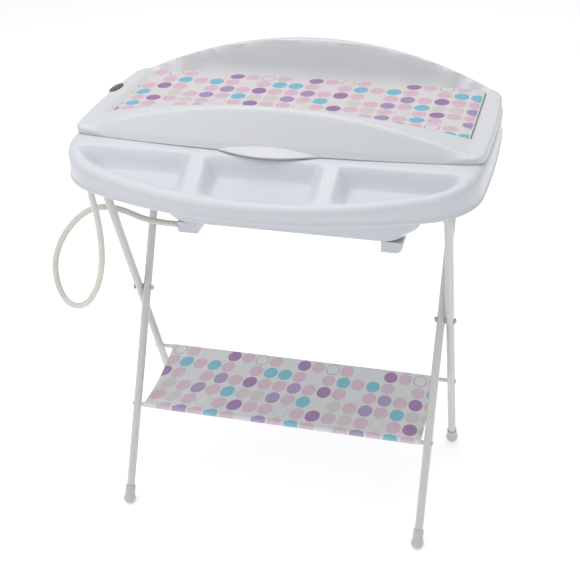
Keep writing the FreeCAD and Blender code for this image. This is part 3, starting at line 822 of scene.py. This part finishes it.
def front_share(p):
    """1 where the guard's face runs straight down to the seam, 0 round the sides and back."""
    if p.y > seam_y(p.x) + 0.03:
        return 0.0
    share = min(max((0.405 - abs(p.x)) / 0.06, 0.0), 1.0)
    return share * share * (3 - 2 * share)


def build_top(materials):
    """The changing top in one shell: edge, border, pan and both guards. Its lip is a piece apart."""
    shell = Shell()
    crest_loop = top_outline(EDGE_ROLL)
    crest = [(top_height(p.x, p.y), front_share(p)) for p in crest_loop]
    base_z = TOP_Z + 0.0012
    thin = 0.0003
    loops = [[(p.x, p.y, TOP_Z) for p in top_outline(0.0008)]]
    outer = top_outline(0)
    for share in (0.0, 0.33, 0.66):
        ring = []
        for p, (height, front) in zip(outer, crest):
            wall = max(height - EDGE_ROLL - base_z, 0.0) * (1 - front) * share
            ring.append((p.x, p.y, base_z + wall + 0.0002 * share))
        loops.append(ring)
    for across, down in reversed(fillet_stops(EDGE_ROLL, 7)):
        ring = []
        for p, (height, front) in zip(top_outline(EDGE_ROLL - across), crest):
            round_z = max(height - down, base_z + thin)
            ramp_z = base_z + thin + (height - base_z - thin) * (1 - across / EDGE_ROLL)
            ring.append((p.x, p.y, round_z + (ramp_z - round_z) * front))
        loops.append(ring)
    shell.rings(loops)
    # rows of points across the top, close together where the guards rise
    rows = []
    fine_step, coarse_step = 0.0033, 0.012
    y = SEAM_Y + EDGE_ROLL
    rear = top_high.y - EDGE_ROLL
    while y < rear:
        rows.append(y)
        fine = y < SEAM_Y + 0.13 or y > mat_high.y - 0.004
        y += fine_step if fine else coarse_step
    shell.fill(crest_loop, [], top_height, 0.0075, rows)
    add_moulding(shell, "top_shell", materials["top"], "top", "changing_top")
    build_lip(materials)


def build_lip(materials):
    """The lens-shaped finger lip: flat below, rising to the front guard's face, with a round nose."""
    half, reach, rise, nose = 0.108, 0.026, 0.011, 0.0020
    steps = 48
    shell = Shell()
    rings = []
    for k in range(steps + 1):
        x = half * math.sin(math.pi / 2 * (2 * k / steps - 1))
        share = max(1 - (x / half) ** 2, 0.0)
        tip = seam_y(x) - reach * share
        root = seam_y(x) + 0.012
        thick = nose * min(1, share * 3) + 0.0002
        ring = [(x, root, TOP_Z + 0.0002), (x, seam_y(x), TOP_Z + 0.0002)]
        for step in range(9):
            a = math.pi * (step / 8) - math.pi / 2
            ring.append((x, tip + thick * (1 - math.cos(a)) * share ** 0.5,
                         TOP_Z + 0.0002 + thick * (1 + math.sin(a))))
        top_z = TOP_Z + thick * 2
        for step in range(1, 7):
            part = step / 6
            ring.append((x, tip + (root - tip) * part, top_z + (rise * share) * part ** 1.3))
        rings.append(ring)
    shell.rings(rings, caps=(0, -1))
    add_piece(shell, "finger_lip", materials["top"], "top", 40)


# ------ soft goods
def build_mat(materials):
    """Padded vinyl mat: two welded skins, puffed by a pressure simulation between its hems."""
    inset, rows, columns = 0.0015, 44, 118
    low, high = mat_low + Vector((inset, inset, 0.0006)), mat_high - Vector((inset, inset, 0.0))
    hem = 0.007
    puff = 0.0030                # room left over the upper skin for the pressure to fill
    half_weld = 0.0004
    bm = bmesh.new()

    def skin(z, edge_z):
        grid = []
        for j in range(rows + 1):
            y = low.y + (high.y - low.y) * j / rows
            line = []
            for i in range(columns + 1):
                x = low.x + (high.x - low.x) * i / columns
                rim = min(x - low.x, high.x - x, y - low.y, high.y - y)
                share = min(rim / hem, 1.0)
                crown = math.sqrt(share * (2 - share))
                line.append(bm.verts.new((x, y, edge_z + (z - edge_z) * crown)))
            grid.append(line)
        return grid

    middle = (low.z + high.z) / 2
    upper, lower = skin(high.z - puff, middle + half_weld), skin(low.z, middle - half_weld)
    for grid, flip in ((upper, False), (lower, True)):
        for j in range(rows):
            for i in range(columns):
                face = [grid[j][i], grid[j][i + 1], grid[j + 1][i + 1], grid[j + 1][i]]
                bm.faces.new(face[::-1] if flip else face)
    for j in range(rows):
        bm.faces.new((upper[j][0], upper[j + 1][0], lower[j + 1][0], lower[j][0]))
        bm.faces.new((upper[j + 1][-1], upper[j][-1], lower[j][-1], lower[j + 1][-1]))
    for i in range(columns):
        bm.faces.new((upper[0][i + 1], upper[0][i], lower[0][i], lower[0][i + 1]))
        bm.faces.new((upper[-1][i], upper[-1][i + 1], lower[-1][i + 1], lower[-1][i]))
    bmesh.ops.recalc_face_normals(bm, faces=bm.faces)
    mesh = bpy.data.meshes.new("changing_mat_pad")
    bm.to_mesh(mesh)
    bm.free()
    obj = new_object("changing_mat_pad", mesh, materials["mat"])
    pinned = obj.vertex_groups.new(name="pinned")
    for v in mesh.vertices:
        rim = min(v.co.x - low.x, high.x - v.co.x, v.co.y - low.y, high.y - v.co.y)
        if rim < 0.002 or v.co.z < middle - 0.001:
            pinned.add([v.index], 1.0, "REPLACE")
    simulate(obj, "pinned", 18, pressure=1.2, stiffness=6.0, gravity=0.0, reach=0.0045)
    subdivide(obj)
    smooth(obj.data, 60)
    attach(obj, "top")
    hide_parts("changing_mat")
    build_mat_piping(materials, low, high, middle)


def build_mat_piping(materials, low, high, middle):
    """Thin welded bead round the mat's edge."""
    corner, points, sides, radius = 0.012, 320, 8, 0.0016
    shell = Shell()
    rings = []
    for k in range(sides + 1):
        a = math.tau * k / sides
        out = radius * math.cos(a)
        loop = rounded_box((high.x - low.x) / 2 + out, low.y - out, high.y + out, corner + out, points)
        rings.append([(p.x, p.y, middle + radius * math.sin(a)) for p in loop])
    shell.rings(rings)
    add_piece(shell, "mat_piping", materials["hem"], "top", 80)


def subdivide(obj):
    """One level of smooth subdivision, applied."""
    level = obj.modifiers.new("smooth", "SUBSURF")
    level.levels = level.render_levels = 1
    apply_modifiers(obj)


def simulate(obj, group, frames, pressure, stiffness, gravity, reach):
    """Runs cloth on the object and keeps the result, with no point moved further than reach."""
    before = [v.co.copy() for v in obj.data.vertices]
    cloth = obj.modifiers.new("cloth", "CLOTH")
    settings = cloth.settings
    settings.quality = 5
    settings.mass = 0.25
    settings.tension_stiffness = settings.compression_stiffness = stiffness
    settings.shear_stiffness = stiffness
    settings.bending_stiffness = 0.4
    settings.vertex_group_mass = group
    settings.effector_weights.gravity = gravity
    if pressure:
        settings.use_pressure = True
        settings.uniform_pressure_force = pressure
    cloth.point_cache.frame_start = 1
    cloth.point_cache.frame_end = frames
    for step in range(1, frames + 1):
        scene.frame_set(step)
    apply_modifiers(obj)
    scene.frame_set(1)
    for vertex, start in zip(obj.data.vertices, before):
        move = vertex.co - start
        if move.length > reach:
            vertex.co = start + move * (reach / move.length)


def rod_middle(low, high):
    return Vector((0, (low.y + high.y) / 2, (low.z + high.z) / 2))


def rod_wrap(rod, start, step, radius):
    """Points of the sling's section round a rod, held by their sleeve."""
    wrap = []
    for k in range(13):
        a = math.radians(start - step * k)
        wrap.append((rod.y + radius * math.cos(a), rod.z + radius * math.sin(a), True))
    return wrap


def build_shelf(materials):
    """Printed sling: wraps the front rod, crosses to the rear rod and wraps that, with sewn sleeves."""
    front = rod_middle(front_rod_low, front_rod_high)
    rear = rod_middle(rear_rod_low, rear_rod_high)
    radius = 0.0058
    profile = rod_wrap(front, -90, 20, radius)
    start, end = profile[-1], (rear.y, rear.z + radius)
    panel_steps = 34
    for k in range(1, panel_steps):
        share = k / panel_steps
        y = start[0] + (end[0] - start[0]) * share
        profile.append((y, start[1] + (end[1] - start[1]) * share, False))
    profile += rod_wrap(rear, 90, 20, radius)
    half = cloth_high.x - 0.001
    columns = 110
    bm = bmesh.new()
    grid = []
    for y, z, _ in profile:
        grid.append([bm.verts.new((half * (2 * i / columns - 1), y, z)) for i in range(columns + 1)])
    for a, b in zip(grid, grid[1:]):
        for i in range(columns):
            bm.faces.new((a[i], a[i + 1], b[i + 1], b[i]))
    bm.verts.index_update()
    held = sorted(v.index for line, p in zip(grid, profile) if p[2] for v in line)
    mesh = bpy.data.meshes.new("shelf_sling")
    bm.to_mesh(mesh)
    bm.free()
    obj = new_object("shelf_sling", mesh, materials["shelf"])
    pinned = obj.vertex_groups.new(name="pinned")
    pinned.add(held, 1.0, "REPLACE")
    simulate(obj, "pinned", 24, pressure=0.0, stiffness=22.0, gravity=1.0, reach=0.012)
    point_up(obj.data)
    solid = obj.modifiers.new("cloth", "SOLIDIFY")
    solid.thickness = 0.0009
    solid.offset = 1
    apply_modifiers(obj)
    smooth(obj.data, 50)
    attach(obj, "inner_frame")
    obj.parent = None
    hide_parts("shelf_fabric")
    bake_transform(obj)


# ------ hose
HOSE_DIAMETER = 0.0145
# from the drain housing round the free loop, then up behind the leg to the clip under the rim
HOSE_ROUTE = [
    (-0.259, -0.031, 0.648), (-0.298, -0.031, 0.648), (-0.342, -0.037, 0.656), (-0.388, -0.050, 0.684),
    (-0.432, -0.064, 0.694), (-0.476, -0.076, 0.676), (-0.522, -0.089, 0.626), (-0.548, -0.106, 0.566),
    (-0.543, -0.124, 0.508), (-0.512, -0.143, 0.466), (-0.462, -0.155, 0.474), (-0.422, -0.162, 0.526),
    (-0.396, -0.170, 0.592), (-0.383, -0.178, 0.664), (-0.380, -0.186, 0.738), (-0.383, -0.194, 0.790),
    (-0.383, -0.194, 0.834)]


def build_hose(materials):
    """The drain hose as one smooth curve."""
    data = bpy.data.curves.new("drain_hose_line", "CURVE")
    data.dimensions = "3D"
    spline = data.splines.new("NURBS")
    spline.points.add(len(HOSE_ROUTE) - 1)
    for point, place in zip(spline.points, HOSE_ROUTE):
        point.co = (*place, 1)
    spline.order_u = 3
    spline.use_endpoint_u = True
    spline.resolution_u = 10
    data.bevel_depth = HOSE_DIAMETER / 2
    data.bevel_resolution = 8
    data.use_fill_caps = True
    data.materials.append(materials["hose"])
    hose = bpy.data.objects.new("drain_hose_line", data)
    scene.collection.objects.link(hose)
    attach(hose, "bath")
    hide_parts("drain_hose")


# ------ small pieces
PIVOT_Y, PIVOT_Z = -0.031, 0.468
INNER_LEAN = -0.257          # a leg's run in y from the pivot down to the floor
OUTER_LEAN = 0.162
FOOT_BALL_R = 0.0148
FOOT_BALL_Z = 0.0135


def build_foot(name, materials):
    """Foot cap turned about the leg's axis: ball, neck and sleeve with a rolled mouth."""
    leg = nodes[name.replace("_foot", "_leg")]
    low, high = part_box(leg.name)
    across = (low.x + high.x) / 2
    lean = INNER_LEAN if name.startswith("inner") else OUTER_LEAN
    up = Vector((0, -lean / PIVOT_Z, 1)).normalized()
    pivot = Vector((across, PIVOT_Y, PIVOT_Z))
    centre = pivot + up * ((FOOT_BALL_Z - pivot.z) / up.z)
    profile = [(FOOT_BALL_R * math.sin(math.radians(a)), -FOOT_BALL_R * math.cos(math.radians(a)))
               for a in range(0, 121, 8)]
    # radius and place along the leg of the neck, the sleeve and its rolled mouth
    profile += [(0.0124, 0.0092), (0.0120, 0.0115), (0.0120, 0.020), (0.0120, 0.0285), (0.0121, 0.0305),
                (0.0118, 0.0317), (0.0110, 0.0321), (0.0097, 0.0319), (0.0096, 0.026)]
    side_axis = Vector((1, 0, 0))
    other = up.cross(side_axis)
    count = 40
    shell = Shell()
    rings = []
    for radius, along in profile:
        ring = []
        for k in range(count):
            a = math.tau * k / count
            outwards = side_axis * math.cos(a) + other * math.sin(a)
            p = centre + up * along + outwards * max(radius, 1e-4)
            p.z = max(p.z, 0.0)
            ring.append(p)
        rings.append(ring)
    shell.rings(rings, caps=(0,))
    body = "inner_frame" if name.startswith("inner") else "outer_frame"
    add_piece(shell, name + "_cap", materials["foot"], body, 50, name)


def build_badge(materials):
    """Plain domed oval with a thin raised rim, lying on the top's left shoulder."""
    middle = Vector((badge_low.x + 0.0105, (badge_low.y + badge_high.y) / 2, BORDER_Z - 0.0005))
    outwards = Vector((-0.14, -0.04, 0.99)).normalized()
    along = Vector((0.10, 1, 0.03)).normalized()
    across = outwards.cross(along).normalized()
    half_long, half_short = 0.027, 0.0115
    # share of the half axes and height over the shoulder
    profile = [(1.0, -0.002), (1.0, 0.0008), (0.985, 0.0016), (0.93, 0.0018), (0.88, 0.0012),
               (0.84, 0.0010), (0.7, 0.0019), (0.5, 0.0026), (0.25, 0.0030), (0.02, 0.0031)]
    count = 56
    shell = Shell()
    rings = []
    for share, height in profile:
        rings.append([middle + along * (half_long * share * math.cos(math.tau * k / count))
                      + across * (half_short * share * math.sin(math.tau * k / count))
                      + outwards * height for k in range(count)])
    shell.rings(rings, caps=(-1, 0))
    add_piece(shell, "side_badge_oval", materials["badge"], "top", 35, "side_badge")


def dress_cad_nodes(materials):
    """Better materials for the CAD nodes that stay, by the record's slots."""
    by_slot = {"stand_tube": "tube", "foot_cap": "foot", "fastener": "steel", "bath_plastic": "bath",
               "clip_plastic": "clip", "ring_rubber": "ring", "buffer_rubber": "buffer", "hose": "hose",
               "top_plastic": "top", "badge": "badge", "mat_vinyl": "mat", "shelf_cloth": "shelf"}
    for part in frame["record"]["subparts"]:
        obj = nodes[part["node"]]
        obj.data.materials.clear()
        obj.data.materials.append(materials[by_slot[part["material_slot"]]])
        smooth(obj.data, 32)


# ------ studio
FLOOR_HALF = 14.0
LAMP_TARGET = Vector((0, 0, 0.7))


def build_studio(materials):
    """Pale floor and surroundings, with one wide soft light overhead and two weak ones in front."""
    mesh = bpy.data.meshes.new("floor")
    corners = [(FLOOR_HALF * a, FLOOR_HALF * b, 0) for a, b in ((-1, -1), (1, -1), (1, 1), (-1, 1))]
    mesh.from_pydata(corners, [], [(0, 1, 2, 3)])
    floor = new_object("floor", mesh, materials["floor"])
    floor.location.z = -0.0005
    world = bpy.data.worlds.new("studio")
    scene.world = world
    world.use_nodes = True
    background = world.node_tree.nodes["Background"]
    background.inputs["Color"].default_value = (0.97, 0.985, 1.0, 1)
    background.inputs["Strength"].default_value = 0.60
    for name, place, size, power, color in (
            ("overhead", (-0.4, 0.3, 3.6), 3.4, 60, (1.0, 0.995, 0.99)),
            ("key", (-1.9, -2.0, 2.7), 1.8, 17, (1.0, 0.985, 0.97)),
            ("fill", (2.6, -1.8, 2.0), 2.4, 6, (0.95, 0.97, 1.0))):
        light = bpy.data.lights.new(name, "AREA")
        light.size = size
        light.energy = power
        light.color = color
        lamp = bpy.data.objects.new(name, light)
        lamp.location = place
        aim = LAMP_TARGET - lamp.location
        lamp.rotation_mode = "QUATERNION"
        lamp.rotation_quaternion = aim.to_track_quat("-Z", "Y")
        scene.collection.objects.link(lamp)
    scene.view_settings.view_transform = "Standard"


# ------ build
make_camera()
palette = make_materials()
build_hose(palette)
dress_cad_nodes(palette)
build_bath(palette)
build_top(palette)
build_mat(palette)
build_shelf(palette)
for foot_name in ("inner_left_foot", "inner_right_foot", "outer_left_foot", "outer_right_foot"):
    build_foot(foot_name, palette)
build_badge(palette)
build_studio(palette)
